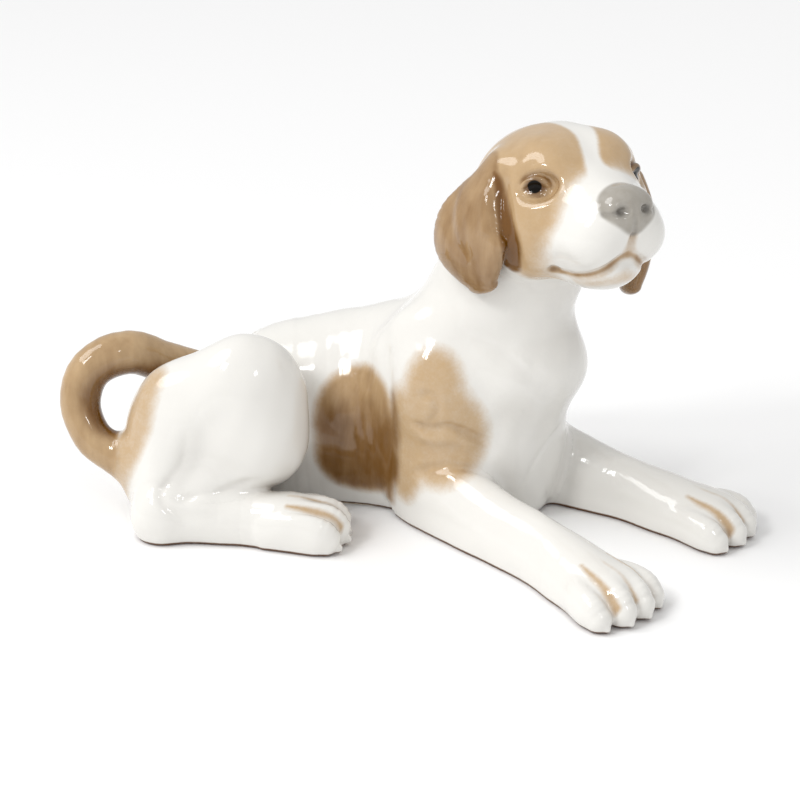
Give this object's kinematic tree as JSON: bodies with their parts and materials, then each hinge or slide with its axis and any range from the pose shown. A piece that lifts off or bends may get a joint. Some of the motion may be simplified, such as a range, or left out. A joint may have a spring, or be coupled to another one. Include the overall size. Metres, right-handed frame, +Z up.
{
  "type": "porcelain puppy figurine",
  "caption": "Glazed porcelain hound puppy lying with its head raised and turned, hollow-cast body and head with luted ears, legs and curled tail on a flat vented closing plate.",
  "frame": {"origin": "on the resting face of the closing plate, under the middle of the belly", "axes": "+X forwards towards the forepaws, +Y to the puppy's left, +Z up; -Z is the resting face's outward normal"},
  "size_m": [0.1924, 0.1195, 0.1168],
  "materials": {
    "white_glaze": "warm white high-gloss glaze with airbrushed tan and brown underglaze patches",
    "tan_glaze": "high-gloss clear glaze over airbrushed tan-brown",
    "bisque": "unglazed, matt, ground flat"
  },
  "bodies": {
    "root": {"torso_shell": "white_glaze", "head_shell": "white_glaze", "closing_plate": "bisque", "right_ear": "tan_glaze", "left_ear": "tan_glaze", "tail": "tan_glaze", "right_thigh": "white_glaze", "left_thigh": "white_glaze", "right_hind_foot": "white_glaze", "left_hind_foot": "white_glaze", "right_foreleg": "white_glaze", "left_foreleg": "white_glaze"}
  },
  "joints": []
}
